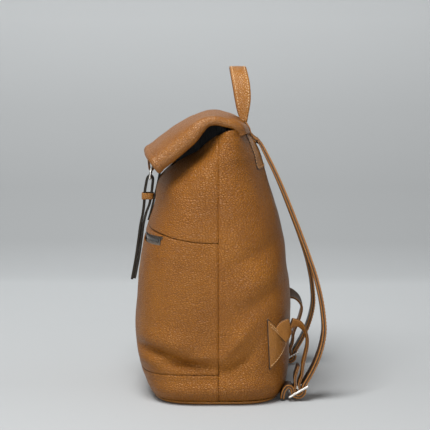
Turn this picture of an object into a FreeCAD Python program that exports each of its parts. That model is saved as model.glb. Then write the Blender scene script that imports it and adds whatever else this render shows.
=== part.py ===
import FreeCAD, Part
import functools
import math
import os

from FreeCAD import Vector as V

# Fold-over leather backpack, as separate sewn and hinged pieces.
#
# Millimetres. +Z is up, -Y is the bag's front, +Y is the side that lies on the wearer's back, and +X is the
# wearer's right. The origin is the middle of the base, on the surface that the bag stands on.
#
# The body is a soft tube of rounded plan that narrows towards a slanting mouth. Leather panels form it, a black
# lining and a pocket bag hang inside it, and a flap that grows out of the back folds over the mouth.

os.makedirs("parts", exist_ok=True)

# --- driving dimensions ------------------------------------------------------------------------------------

# The outer skin at each height: height, half width, front, back, squareness of the rounded plan.
BODY = (
    (0.0, 131.5, -71.0, 74.0, 3.9),
    (6.0, 134.0, -74.5, 79.0, 4.0),
    (14.0, 136.5, -78.0, 83.5, 4.0),
    (32.0, 139.0, -86.0, 87.5, 4.0),
    (70.0, 142.0, -92.5, 88.0, 4.0),
    (112.0, 142.0, -91.0, 88.0, 4.0),
    (150.0, 140.0, -88.0, 85.0, 3.8),
    (186.0, 137.0, -82.5, 79.5, 3.5),
    (222.0, 132.0, -70.5, 71.0, 3.1),
    (250.0, 128.0, -59.5, 62.0, 2.8),
    (268.0, 125.0, -46.0, 56.5, 2.6),
    (285.0, 123.0, -23.0, 50.5, 2.4),
    (300.0, 121.0, -10.0, 42.5, 2.3),
    (313.0, 119.0, 0.0, 33.5, 2.2),
)
# The mouth's rim seen from the side, from the front panel's top edge up to the back.
RIM = ((-50.5, 250.0), (-46.0, 262.0), (-37.0, 271.0), (-20.0, 283.0), (-9.0, 296.0), (1.0, 306.0), (12.0, 311.0))
BODY_TOP = 313.0
# The top edge of the textile collar that stands inside the rim, under the flap.
COLLAR_TOP = ((-56.0, 256.0), (-44.0, 265.0), (-29.0, 281.0), (-17.0, 300.0), (-8.0, 312.0), (2.0, 314.0))
COLLAR_TOP += ((14.0, 311.0), (24.0, 306.0), (40.0, 304.0))
COLLAR_INSET, COLLAR_THICKNESS = 4.0, 0.8

LEATHER = 1.8  # thickness of the body's panels
LAID_GAP = 0.15  # between the skin and what is sewn on it
TAPE_IN, TAPE_OUT = 2.5, 1.95  # depths of the zipper tape below the skin
LINING_IN, LINING_OUT = 3.3, 2.7  # depths of the lining below the skin
SEAM_GAP = 0.1  # each side of a seam between two panels
SIDE_SEAM_Y = 4.0
PANEL_BOTTOM = 5.2
BAND_SEAM_Z = 35.0
# The pocket seam: its height at the side seam, and its rise 61 mm in front of the origin.
POCKET_SEAM_Z, POCKET_SEAM_RISE = 186.5, 8.5

ZIP_Z = 187.0
ZIP_HALF_LENGTH = 122.0
ZIP_HALF_WINDOW = 4.8
TOOTH_PITCH = 3.2
SLIDER_X = -64.0

# The flap's outer face at stations from its back seam to its front edge: y and z on the centre line, y and z at
# the side edge, half width.
FLAP_REAR = (
    (38.9, 306.5, 27.0, 309.5, 113.0),
    (36.6, 313.3, 24.5, 315.5, 116.0),
    (29.5, 319.0, 19.5, 318.5, 119.0),
    (14.0, 324.2, 10.5, 321.5, 122.0),
    (0.0, 326.6, 1.0, 323.5, 124.0),
    (-11.8, 327.0, -8.0, 321.0, 125.0),
)
FLAP_FRONT = (
    (-12.2, 327.0, -8.4, 321.0, 125.0),
    (-26.0, 323.0, -17.0, 310.0, 126.0),
    (-44.0, 313.5, -29.0, 290.0, 127.0),
    (-63.0, 300.0, -44.0, 275.0, 127.0),
    (-83.0, 284.0, -61.0, 265.5, 127.0),
)
FRONT_LINING_START = (-13.3, 326.7, -9.5, 319.6, 125.0)
FLAP_DROOP_POWER = 2.6
FLAP_LEATHER = 2.0
FLAP_LINING_GAP, FLAP_LINING = 0.2, 0.8

STRAP_WIDTH = 24.0
STRAP_THICKNESS = 4.5
LOWER_STRAP_THICKNESS = 2.5
HANDLE_X = 45.0

# The strap buckle: a flat frame round a centre bar that lies along X.
BUCKLE_X = 103.0
BUCKLE_Y, BUCKLE_Z = 96.3, 11.8
BUCKLE_TILT = math.radians(30.3)
BUCKLE_HALF_LENGTH = 13.5
BUCKLE_HALF_WIDTH = 16.5
BUCKLE_WIRE = 1.4
FRAME_WIRE = 1.5

PULL_HALF_WIDTH = 8.5
PLY = 2.9  # one layer of the pull strap
RING_BAR_TOP = (-77.0, 262.6)
RING_BAR_BOTTOM = (-79.0, 250.0)
RING_WIRE = 1.3
RING_HALF_WIDTH = 12.0

PLAN_POINTS = 28
FAR = 400.0
X_AXIS = V(1, 0, 0)


# --- helpers -----------------------------------------------------------------------------------------------


def save(name, *solids):
    """Writes one node, and says its volume, so that a lost solid shows."""
    found = [s for shape in solids for s in shape.Solids]
    shape = found[0] if len(found) == 1 else Part.makeCompound(found)
    shape.exportStep(f"parts/{name}.step")
    print(f"{name}: {len(found)} solids, {shape.Volume:.0f} mm3, valid {shape.isValid()}")


def box(x, y, z):
    """A box from three (low, high) pairs."""
    return Part.makeBox(x[1] - x[0], y[1] - y[0], z[1] - z[0], V(x[0], y[0], z[0]))


def mirrored(shape):
    return shape.mirror(V(0, 0, 0), X_AXIS)


def spline(points, periodic=False):
    curve = Part.BSplineCurve()
    curve.interpolate(Points=points, PeriodicFlag=periodic)
    return curve.toShape()


def plan_point(row, inset, angle):
    """A point of the body's rounded plan at one height, as far inside the skin as inset says."""
    z, half_width, front, back, power = row
    c, s = math.cos(angle), math.sin(angle)
    reach_x = half_width - inset
    reach_y = (back - front) / 2 - inset
    x = reach_x * math.copysign(abs(c) ** (2 / power), c)
    y = (front + back) / 2 + reach_y * math.copysign(abs(s) ** (2 / power), s)
    return V(x, y, z)


@functools.cache
def body_tube(inset):
    """The whole body's volume, inset from its outer skin."""
    angles = [math.tau * (i + 0.5) / PLAN_POINTS for i in range(PLAN_POINTS)]
    wires = [Part.Wire(spline([plan_point(row, inset, a) for a in angles], True)) for row in BODY]
    return Part.makeLoft(wires, True, False)


def profile_row(z):
    """The body's row of sizes at any height, straight between its stations."""
    for low, high in zip(BODY, BODY[1:]):
        if low[0] <= z <= high[0]:
            share = (z - low[0]) / (high[0] - low[0])
            return tuple(a + (b - a) * share for a, b in zip(low, high))
    raise ValueError(z)


def skin_front(z):
    return profile_row(z)[2]


def skin_back(z):
    return profile_row(z)[3]


def prism_x(outline, half_width, centre=0.0):
    """A solid from an outline of (y, z) points, as wide as it says along X."""
    points = [V(centre - half_width, y, z) for y, z in outline]
    face = Part.Face(Part.makePolygon(points + points[:1]))
    return face.extrude(V(2 * half_width, 0, 0))


def arc_points(centre, radius, start, end, count):
    """(y, z) points round a circle in the YZ plane. Angles in degrees, 0 along +Y."""
    steps = [math.radians(start + (end - start) * i / (count - 1)) for i in range(count)]
    return [(centre[0] + radius * math.cos(a), centre[1] + radius * math.sin(a)) for a in steps]


def ribbon(points, widths, width, thickness):
    """A strap along a route of 3-D points. widths gives each point's direction across the strap."""
    wires = []
    for i, point in enumerate(points):
        along = points[min(i + 1, len(points) - 1)] - points[max(i - 1, 0)]
        along.normalize()
        across = widths[i] - along * widths[i].dot(along)
        across.normalize()
        out = across.cross(along)
        a, b = across * (width / 2), out * (thickness / 2)
        corners = [point + a + b, point - a + b, point - a - b, point + a - b]
        wires.append(Part.makePolygon(corners + corners[:1]))
    return Part.makeLoft(wires, True, True)


def flat_ribbon(route, half_width, thickness, centre=0.0):
    """A strap whose route is (y, z) points in one plane, as wide as it says along X."""
    points = [V(centre, y, z) for y, z in route]
    return ribbon(points, [X_AXIS] * len(points), 2 * half_width, thickness)


def trimmed(shape, *others):
    """What is left of a shape outside the others, without the offcuts."""
    for other in others:
        shape = shape.cut(other)
    return max(shape.Solids, key=lambda solid: solid.Volume)


def rod(start, end, radius):
    return Part.makeCylinder(radius, (end - start).Length, start, end - start)


def wire_frame(corners, radius):
    """A closed frame of round wire through the corners, with a ball at each."""
    shape = None
    for start, end in zip(corners, corners[1:] + corners[:1]):
        side = rod(start, end, radius).fuse(Part.makeSphere(radius, start))
        shape = side if shape is None else shape.fuse(side)
    return shape.removeSplitter()


# --- body panels -------------------------------------------------------------------------------------------


def skin_part(outer, inner, region):
    """The part of a region that lies between two depths below the skin."""
    return body_tube(outer).common(region).cut(body_tube(inner))


def slab(low, high):
    return box((-FAR, FAR), (-FAR, FAR), (low, high))


def mouth_cut():
    """Everything above the slanting rim."""
    outline = [(-150, RIM[0][1]), *RIM, (20, BODY_TOP + 1), (20, FAR), (-150, FAR)]
    return prism_x(outline, FAR)


def zipper_window():
    return box(
        (-ZIP_HALF_LENGTH, ZIP_HALF_LENGTH), (-150, -30), (ZIP_Z - ZIP_HALF_WINDOW, ZIP_Z + ZIP_HALF_WINDOW)
    )


def pocket_seam(shift):
    """The pocket seam's line from the side seam to well in front of the body, moved up by shift."""
    ys = [-12.0 * i for i in range(9)]
    line = [(y, POCKET_SEAM_Z + POCKET_SEAM_RISE * (y / 61) ** 2 + shift) for y in ys]
    return [(SIDE_SEAM_Y - SEAM_GAP, POCKET_SEAM_Z + shift), *line]


def front_of_seam(low, high):
    """The front half between two lines of (y, z) points that run forward from the side seam."""
    return prism_x([*low, *high[::-1]], FAR)


def level(z):
    return [(SIDE_SEAM_Y - SEAM_GAP, z), (-96.0, z)]


def make_panels():
    mouth = mouth_cut()
    back = box((-FAR, FAR), (SIDE_SEAM_Y + SEAM_GAP, FAR), (PANEL_BOTTOM, FAR)).cut(mouth)
    upper = front_of_seam(pocket_seam(SEAM_GAP), level(FAR)).cut(mouth)
    pocket = front_of_seam(level(BAND_SEAM_Z + SEAM_GAP), pocket_seam(-SEAM_GAP)).cut(zipper_window())
    band = front_of_seam(level(PANEL_BOTTOM), level(BAND_SEAM_Z - SEAM_GAP))
    save("back_panel", skin_part(0, LEATHER, back))
    save("front_upper_panel", skin_part(0, LEATHER, upper))
    save("front_pocket_panel", skin_part(0, LEATHER, pocket))
    save("front_bottom_band", skin_part(0, LEATHER, band))


def make_base():
    save("base_piping", skin_part(-0.8, 1.6, slab(2.5, 4.9)))
    save("base_panel", body_tube(0).common(slab(0, 2.2)))
    save("base_board", body_tube(3.0).common(slab(2.5, 5.5)))


def make_lining():
    floor_low, floor_high = 6.0, 6.6
    shell = body_tube(LINING_OUT).common(slab(floor_low, FAR).cut(mouth_cut()).cut(zipper_window()))
    save("main_lining", shell.cut(body_tube(LINING_IN).common(slab(floor_high, FAR))))


def between(table, y):
    """The height at y on a line of (y, z) points, level beyond its ends."""
    for (y0, z0), (y1, z1) in zip(table, table[1:]):
        if y <= y1:
            return z0 + (z1 - z0) * max(0.0, (y - y0) / (y1 - y0))
    return table[-1][1]


def rim_row(angle):
    """The body's row of sizes at the height where the rim crosses this angle of the plan."""
    low, high = RIM[0][1], BODY_TOP
    while high - low > 0.01:
        z = (low + high) / 2
        y = plan_point(profile_row(z), 0, angle).y
        low, high = (z, high) if z < between(RIM, y) else (low, z)
    return profile_row(low)


def make_collar():
    """A textile wall round the mouth's inside that stands up from below the rim and is open at the top."""
    loops = []
    for inset in (COLLAR_INSET, COLLAR_INSET + COLLAR_THICKNESS):
        low, top = [], []
        for i in range(PLAN_POINTS):
            row = rim_row(math.tau * (i + 0.5) / PLAN_POINTS)
            point = plan_point(row, inset, math.tau * (i + 0.5) / PLAN_POINTS)
            height = between(COLLAR_TOP, point.y)
            low.append(V(point.x, point.y, min(row[0], height) - 7))
            top.append(V(point.x, point.y, height))
        loops += [spline(low, True), spline(top, True)]
    outer_low, outer_top, inner_low, inner_top = loops
    pairs = ((outer_low, outer_top), (inner_low, inner_top), (outer_low, inner_low), (outer_top, inner_top))
    shell = Part.Shell([Part.makeRuledSurface(a, b) for a, b in pairs])
    shell.sewShape()
    solid = Part.Solid(shell)
    if solid.Volume < 0:
        solid.reverse()
    wall = body_tube(0).cut(body_tube(COLLAR_INSET - 0.55))
    save("mouth_collar", trimmed(solid, wall))


def make_pocket_bag():
    """A flat textile pouch behind the zipper, open to it at the top."""
    half_width, bottom, top = 100.0, 62.0, ZIP_Z + 8
    ply = 0.6
    inside = (3 - half_width, half_width - 3)
    pouch = skin_part(3.6, 5.6, box((-half_width, half_width), (-FAR, -40), (bottom, top)))
    space = skin_part(3.6 + ply, 5.6 - ply, box(inside, (-FAR, -40), (bottom + 3, top - 3)))
    mouth = skin_part(3.4, 5.6 - ply, box(inside, (-FAR, -40), (ZIP_Z - 3, ZIP_Z + 3)))
    save("pocket_bag", pouch.cut(space).cut(mouth))


# --- pocket zipper -----------------------------------------------------------------------------------------


def zipper_path(depth):
    """Points along the zipper at equal steps, with their directions, from the far end to the near end."""
    row = profile_row(ZIP_Z)
    fine = [plan_point(row, depth, math.radians(180 + 180 * i / 2000)) for i in range(2001)]
    fine = [p for p in fine if abs(p.x) < ZIP_HALF_LENGTH - 3]
    found, travelled = [], 0.0
    for before, after in zip(fine, fine[1:]):
        travelled += (after - before).Length
        if travelled >= TOOTH_PITCH / 2:
            found.append((after, (after - before).normalize()))
            travelled = 0.0
    return found


def oriented_box(centre, along, length, depth, height):
    """A box on the zipper: length runs along it, depth into the bag, height up."""
    shape = Part.makeBox(length, depth, height, V(-length / 2, -depth / 2, -height / 2))
    shape.rotate(V(0, 0, 0), V(0, 0, 1), math.degrees(math.atan2(along.y, along.x)))
    shape.translate(centre)
    return shape


def make_zipper():
    reach = ZIP_HALF_LENGTH + 3
    lower = box((-reach, reach), (-FAR, -25), (ZIP_Z - 9, ZIP_Z - 0.6))
    upper = box((-reach, reach), (-FAR, -25), (ZIP_Z + 0.6, ZIP_Z + 9))
    save("zipper_tapes", *[skin_part(TAPE_OUT, TAPE_IN, region) for region in (lower, upper)])

    path = zipper_path(0.5)
    teeth = []
    for i, (point, along) in enumerate(path[2:-2]):
        lift = 0.8 if i % 2 else -0.8
        teeth.append(oriented_box(point + V(0, 0, lift), along, 1.3, 0.8, 3.0))
    save("zipper_teeth", *teeth)
    save("zipper_stops", *[oriented_box(p, t, 1.6, 0.8, 6.0) for p, t in (path[0], path[-1])])


def make_slider():
    """A plate that runs over the teeth with a flange each side of them, and ears that hold the puller's pin."""
    skin = skin_front(ZIP_Z)
    half_length = 5.5
    face = skin - 1.5
    x = (SLIDER_X - half_length, SLIDER_X + half_length)
    plate = box(x, (face, skin - 0.5), (ZIP_Z - 4.0, ZIP_Z + 4.0))
    plate = plate.fuse(box(x, (face, skin + 0.95), (ZIP_Z + 2.7, ZIP_Z + 4.0)))
    plate = plate.fuse(box(x, (face, skin + 0.45), (ZIP_Z - 4.0, ZIP_Z - 2.7)))
    pin_y, pin_z = skin - 3.0, ZIP_Z - 5.5
    for side in (-1, 1):
        ear = (SLIDER_X + side * 2.9 - 0.6, SLIDER_X + side * 2.9 + 0.6)
        plate = plate.fuse(box(ear, (pin_y - 0.6, pin_y + 0.6), (pin_z - 0.8, ZIP_Z - 2.0)))
        plate = plate.fuse(box(ear, (pin_y - 0.6, face + 0.3), (ZIP_Z - 3.8, ZIP_Z - 2.0)))
    pin = rod(V(SLIDER_X - 3.4, pin_y, pin_z), V(SLIDER_X + 3.4, pin_y, pin_z), 0.5)
    save("zipper_slider", plate.fuse(pin))

    eye = Part.makeCylinder(1.15, 3.6, V(SLIDER_X - 1.8, pin_y, pin_z), X_AXIS)
    tongue = box((SLIDER_X - 1.8, SLIDER_X + 1.8), (-0.55, 0.55), (-8.0, 0.0))
    blade = box((SLIDER_X - 3.2, SLIDER_X + 3.2), (-0.55, 0.55), (-26.0, -7.0))
    eyelet = Part.makeCylinder(1.3, 4, V(SLIDER_X, -2, -22), V(0, 1, 0))
    puller = tongue.fuse(blade).cut(eyelet)
    slope = math.degrees(math.atan2(skin_front(ZIP_Z - 8) - skin_front(ZIP_Z - 32), 24))
    puller.rotate(V(0, 0, 0), X_AXIS, -slope)
    puller.translate(V(0, pin_y - 0.15, pin_z))
    puller = puller.fuse(eye).cut(rod(V(SLIDER_X - 3, pin_y, pin_z), V(SLIDER_X + 3, pin_y, pin_z), 0.58))
    save("zipper_puller", puller)


# --- flap and its closure ----------------------------------------------------------------------------------


def sheet_solid(top, bottom):
    """A closed solid between two smooth surfaces through grids of points."""
    surfaces = []
    for grid in (top, bottom):
        surface = Part.BSplineSurface()
        surface.interpolate(grid)
        surfaces.append(surface)
    borders = []
    for surface in surfaces:
        u0, u1, v0, v1 = surface.bounds()
        isos = (surface.uIso(u0), surface.uIso(u1), surface.vIso(v0), surface.vIso(v1))
        borders.append([iso.toShape() for iso in isos])
    faces = [surface.toShape() for surface in surfaces]
    faces += [Part.makeRuledSurface(a, b) for a, b in zip(*borders)]
    shell = Part.Shell(faces)
    shell.sewShape()
    solid = Part.Solid(shell)
    solid.fixTolerance(0.001)
    if solid.Volume < 0:
        solid.reverse()
    return solid


def flap_sheet(stations, depth, thickness):
    """A curved sheet that droops at both sides, depth below the flap's outer face."""
    grids = ([], [])
    count = len(stations)
    for i, (y, z, side_y, side_z, half_width) in enumerate(stations):
        before, after = stations[max(i - 1, 0)], stations[min(i + 1, count - 1)]
        along = V(0, after[0] - before[0], after[1] - before[1]).normalize()
        out = V(0, along.z, -along.y)
        for grid, level in zip(grids, (depth, depth + thickness)):
            points = []
            for step in range(-6, 7):
                share = abs(step / 6) ** FLAP_DROOP_POWER
                place = V(half_width * step / 6, y + (side_y - y) * share, z + (side_z - z) * share)
                points.append(place - out * level)
            grid.append(points)
    return sheet_solid(*grids)


def make_flap():
    """Returns the rear leather, and the front leather and lining together."""
    lining_depth = FLAP_LEATHER + FLAP_LINING_GAP
    rear = trimmed(flap_sheet(FLAP_REAR, 0, FLAP_LEATHER), body_tube(-LAID_GAP))
    near_rear = rear.translated(V(0, -0.3, 0))
    front = trimmed(flap_sheet(FLAP_FRONT, 0, FLAP_LEATHER), rear, near_rear)
    rear_lining = flap_sheet(FLAP_REAR[2:], lining_depth, FLAP_LINING)
    front_lining = flap_sheet((FRONT_LINING_START, *FLAP_FRONT[1:]), lining_depth, FLAP_LINING)
    save("flap_rear", rear)
    save("flap_front", front)
    save("flap_rear_lining", rear_lining)
    save("flap_front_lining", front_lining)
    return rear, front.fuse(front_lining)


SNAP_Z = 206.0
SNAP_STRAP_ROUTE = ((-59.5, 304.0), (-63.0, 270.0), (-65.8, 250.0), (-71.7, 229.0), (-77.0, 212.0), (-80.9, 199.5))


def snap_disc(radius, low, high):
    """A disc on the front panel, from low to high above its surface."""
    slope = (skin_front(SNAP_Z - 6) - skin_front(SNAP_Z + 6)) / 12
    out = V(0, -1, -slope).normalize()
    place = V(0, skin_front(SNAP_Z), SNAP_Z)
    return Part.makeCylinder(radius, high - low, place + out * low, out)


def make_closure(flap):
    """flap is the flap's front leather and lining, which the strap and the tab are sewn under."""
    strap = trimmed(flat_ribbon(SNAP_STRAP_ROUTE, 9.0, 2.3), flap)
    save("snap_strap", strap)
    save("snap_post", trimmed(snap_disc(5.0, -0.6, 1.2), body_tube(-LAID_GAP)))
    save("snap_cap", snap_disc(6.0, 1.45, 3.6).cut(strap))

    tab_radius = RING_WIRE + 0.3 + 1.0
    under = arc_points(RING_BAR_TOP, tab_radius, 0, -180, 9)
    tab_route = [(-68.0, 296.0), (-72.6, 270.0), *under, (-80.4, 270.0), (-81.6, 286.0)]
    save("closure_tab", trimmed(flat_ribbon(tab_route, 8.0, 2.0), flap))

    top, bottom = (V(0, *RING_BAR_TOP), V(0, *RING_BAR_BOTTOM))
    half = X_AXIS * RING_HALF_WIDTH
    save("closure_ring", wire_frame([top - half, top + half, bottom + half, bottom - half], RING_WIRE))

    loop_radius = RING_WIRE + 0.3 + PLY / 2
    inner = [(-98.0, 128.0), (-93.4, 151.5), (-89.7, 176.0), (-87.0, 195.0), (-84.0, 207.0)]
    inner += [(-79.6, 219.0), (-77.4, 231.0), (-76.1, 241.0)]
    over = arc_points(RING_BAR_BOTTOM, loop_radius, 20, 165, 9)
    outer = [(-83.8, 243.0), (-85.5, 232.0), (-86.3, 219.0), (-87.9, 207.0)]
    outer += [(-90.4, 195.0), (-93.1, 176.0), (-96.8, 151.5), (-101.4, 127.0)]
    save("pull_strap", flat_ribbon([*inner, *over, *outer], PULL_HALF_WIDTH, PLY))

    keeper = box((-10.2, 10.2), (-88.9, -74.5), (224.8, 232.2))
    hole = box((-9.1, 9.1), (-87.8, -75.4), (220, 240))
    save("pull_keeper", keeper.cut(hole))


# --- handle and back patch ---------------------------------------------------------------------------------

# From one foot to the arch's top: x, y, z, width across the strap, thickness.
HANDLE_HALF = (
    (HANDLE_X, 34.5, 319.5, 7.0, 5.0),
    (HANDLE_X - 0.3, 33.6, 330.0, 12.5, 4.4),
    (HANDLE_X - 1.6, 33.2, 345.0, 18.0, 3.6),
    (HANDLE_X - 5.5, 31.6, 361.0, 20.0, 3.4),
    (HANDLE_X - 14.0, 29.0, 375.0, 20.0, 3.4),
    (HANDLE_X - 28.0, 27.5, 382.0, 20.0, 3.4),
)


def make_handle(flap_rear):
    half = [*HANDLE_HALF, (0.0, 27.0, 383.3, 20.0, 3.4)]
    rows = half + [(-x, y, z, w, t) for x, y, z, w, t in half[-2::-1]]
    wires = []
    for i, (x, y, z, width, thickness) in enumerate(rows):
        before, after = rows[max(i - 1, 0)], rows[min(i + 1, len(rows) - 1)]
        along = V(after[0] - before[0], after[1] - before[1], after[2] - before[2]).normalize()
        across = V(0, 1, 0) - along * along.y
        across.normalize()
        out = across.cross(along)
        a, b = across * (width / 2), out * (thickness / 2)
        place = V(x, y, z)
        corners = [place + a + b, place - a + b, place - a - b, place + a - b]
        wires.append(Part.makePolygon(corners + corners[:1]))
    handle = Part.makeLoft(wires, True, True)
    save("handle_strap", handle)

    tabs = []
    for side in (-1, 1):
        line = ((41.2, 303.5), (39.6, 309.0), (37.4, 314.0), (34.6, 318.8))
        route = [V(side * HANDLE_X, y, z) for y, z in line]
        tab = ribbon(route, [X_AXIS] * 4, 10.0, 4.4)
        tabs.append(trimmed(tab, flap_rear, body_tube(-LAID_GAP), handle.translated(V(0, 0, -0.3))))
    save("handle_tabs", *tabs)


def make_back_patch():
    """A curved reinforcing patch that is wider at its bottom."""
    bottom_z, top_z = 264.0, 301.0
    corners = [V(-76, 25, bottom_z), V(76, 25, bottom_z), V(58, 25, top_z), V(-58, 25, top_z)]
    outline = Part.Face(Part.makePolygon(corners + corners[:1])).extrude(V(0, FAR, 0))
    patch = skin_part(-2.2, -LAID_GAP, outline)
    save("back_patch", patch)
    return patch


# --- shoulder straps ---------------------------------------------------------------------------------------


def buckle_place(along, out):
    """(y, z) of a point given along the buckle's frame and out of its plane."""
    c, s = math.cos(BUCKLE_TILT), math.sin(BUCKLE_TILT)
    return (BUCKLE_Y + along * c - out * s, BUCKLE_Z + along * s + out * c)


def round_buckle(radius, start, end, count):
    """(y, z) points round the centre bar. Angles are in the buckle's own plane, 0 along its frame."""
    tilt = math.degrees(BUCKLE_TILT)
    return arc_points((BUCKLE_Y, BUCKLE_Z), radius, start + tilt, end + tilt, count)


# The upper strap's route, from the top seam to the buckle: x, y, z.
UPPER_ROUTE = (
    (28.0, 54.0, 292.8),
    (33.0, 62.8, 277.0),
    (42.0, 76.5, 248.5),
    (57.0, 94.8, 203.5),
    (71.0, 108.6, 167.0),
    (83.0, 118.6, 135.5),
    (93.0, 125.0, 102.5),
    (99.0, 126.2, 79.5),
    (102.0, 121.6, 57.0),
    (BUCKLE_X, 112.8, 35.5),
)
# The free end beyond the buckle, down to the surface that the bag stands on.
FREE_END = ((89.6, 13.4), (87.2, 16.8), (83.6, 17.0), (80.6, 13.8), (78.6, 8.4), (77.8, 2.6))
# The fixed tab that carries the upper strap at the seam.
TOP_TAB = ((23.5, 40.2, 304.2), (25.4, 45.4, 299.2), (26.6, 50.6, 296.6))
# The lower strap's fixed root, in the corner patch, and the centre line from there to the buckle: x, y, z, and
# the direction across the strap.
LOWER_ROOT = (
    (125.5, 74.0, 77.5, -0.46, 0.60, -0.66),
    (122.0, 79.5, 84.5, -0.46, 0.60, -0.66),
)
LOWER_ROUTE = (
    (118.6, 86.0, 89.2, -0.72, 0.42, -0.55),
    (114.5, 93.5, 89.6, -0.90, 0.20, -0.38),
    (109.6, 100.6, 84.6, -0.97, 0.05, -0.22),
    (106.0, 105.6, 75.5, -1.00, 0.0, -0.10),
    (104.0, 106.6, 65.0, -1.00, 0.0, 0.0),
    (BUCKLE_X, 104.6, 54.0, -1.00, 0.0, 0.0),
    (BUCKLE_X, 101.9, 42.0, -1.00, 0.0, 0.0),
    (BUCKLE_X, 100.6, 30.0, -1.00, 0.0, 0.0),
)
RETURN_END = ((93.0, 18.6), (92.4, 25.0), (94.0, 33.0), (96.8, 41.0))


def strap_loft(thickness):
    """The upper strap, through the buckle and out to its free end."""
    wrap_radius = BUCKLE_WIRE + 0.3 + LOWER_STRAP_THICKNESS + 0.3 + STRAP_THICKNESS / 2
    route = [V(*p) for p in UPPER_ROUTE]
    entry = [buckle_place(14.2, 5.0), buckle_place(9.6, 2.4)]
    under = round_buckle(wrap_radius, -8, -172, 9)
    route += [V(BUCKLE_X, y, z) for y, z in (*entry, *under, *FREE_END)]
    return ribbon(route, [X_AXIS] * len(route), STRAP_WIDTH, thickness)


def lower_strap_loft():
    """The lower strap, round the buckle's centre bar and back up to its sewn end."""
    wrap_radius = BUCKLE_WIRE + 0.3 + LOWER_STRAP_THICKNESS / 2
    route = [V(*row[:3]) for row in LOWER_ROUTE]
    across = [V(*row[3:]) for row in LOWER_ROUTE]
    under = round_buckle(wrap_radius, 0, -180, 9)
    tail = [buckle_place(3.4, 3.6), *under, buckle_place(-3.1, 3.0), *RETURN_END]
    route += [V(BUCKLE_X, y, z) for y, z in tail]
    across += [V(-1, 0, 0)] * len(tail)
    return ribbon(route, across, STRAP_WIDTH, LOWER_STRAP_THICKNESS)


def in_buckle_plane(shape):
    """Turns a shape made about the origin, along Y, into the buckle's plane."""
    shape.rotate(V(0, 0, 0), X_AXIS, math.degrees(BUCKLE_TILT))
    shape.translate(V(BUCKLE_X, BUCKLE_Y, BUCKLE_Z))
    return shape


def buckle_frame(wire):
    end = BUCKLE_HALF_LENGTH - FRAME_WIRE
    corners = [V(x, y, 0) for x, y in ((-1, -1), (1, -1), (1, 1), (-1, 1))]
    corners = [V(p.x * (BUCKLE_HALF_WIDTH - FRAME_WIRE), p.y * end, 0) for p in corners]
    bar = rod(V(FRAME_WIRE - BUCKLE_HALF_WIDTH, 0, 0), V(BUCKLE_HALF_WIDTH - FRAME_WIRE, 0, 0), BUCKLE_WIRE)
    return in_buckle_plane(wire_frame(corners, wire).fuse(bar))


def buckle_prong():
    """A tongue that turns on the centre bar and lies over the frame's end bar."""
    half = 1.2
    reach = BUCKLE_HALF_LENGTH + 0.6
    lift = FRAME_WIRE + 0.15
    ring = Part.makeCylinder(BUCKLE_WIRE + 1.1, 2 * half, V(-half, 0, 0), X_AXIS)
    blade = box((-half, half), (0, reach), (lift, lift + 1.7))
    bore = Part.makeCylinder(BUCKLE_WIRE + 0.06, 2 * half + 2, V(-half - 1, 0, 0), X_AXIS)
    return in_buckle_plane(ring.fuse(blade).cut(bore))


def prong_slot(low, high, bottom, top):
    """The slot that lets the prong through a strap."""
    return in_buckle_plane(box((-1.9, 1.9), (low, high), (bottom, top)))


def corner_patch():
    """The three-sided patch at the bag's rear corner that holds the lower strap's root."""
    top, rear, foot = V(135.4, 59.0, 100.3), V(109.5, 85.0, 63.5), V(134.0, 63.0, 42.0)
    out = (foot - top).cross(rear - top).normalize()
    corners = [corner - out * 6 for corner in (top, rear, foot)]
    block = Part.Face(Part.makePolygon(corners + corners[:1])).extrude(out * 8)
    return trimmed(block, body_tube(-LAID_GAP))


def make_straps(back_patch, flap_rear):
    upper = trimmed(strap_loft(STRAP_THICKNESS), buckle_frame(FRAME_WIRE + 0.25), body_tube(-2 * LAID_GAP))
    upper = upper.cut(prong_slot(3.2, 17.5, -1.0, 12.0))
    lower = trimmed(lower_strap_loft(), strap_loft(STRAP_THICKNESS + 0.6))
    lower = lower.cut(prong_slot(-6.0, 7.5, -6.0, 7.0))
    tab = ribbon([V(*p) for p in TOP_TAB], [X_AXIS] * len(TOP_TAB), STRAP_WIDTH, 4.0)
    tab = trimmed(tab, back_patch, flap_rear, body_tube(-LAID_GAP))
    patch = corner_patch()
    root_points = [V(*row[:3]) for row in LOWER_ROOT]
    root = ribbon(root_points, [V(*row[3:]) for row in LOWER_ROOT], STRAP_WIDTH, LOWER_STRAP_THICKNESS)
    root = trimmed(root, patch, body_tube(-LAID_GAP))
    pieces = {
        "shoulder_strap": upper,
        "lower_strap": lower,
        "strap_buckle": buckle_frame(FRAME_WIRE),
        "buckle_prong": buckle_prong(),
        "strap_tab": tab,
        "corner_patch": patch,
        "lower_strap_root": root,
    }
    for name, shape in pieces.items():
        save(f"{name}_right", shape)
        save(f"{name}_left", mirrored(shape))


def main():
    make_panels()
    make_base()
    make_lining()
    make_collar()
    make_pocket_bag()
    make_zipper()
    make_slider()
    flap_rear, flap_front = make_flap()
    make_closure(flap_front)
    make_handle(flap_rear)
    make_straps(make_back_patch(), flap_rear)


main()
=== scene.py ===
import math

import bpy
import numpy as np
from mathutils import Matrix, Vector, noise


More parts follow.
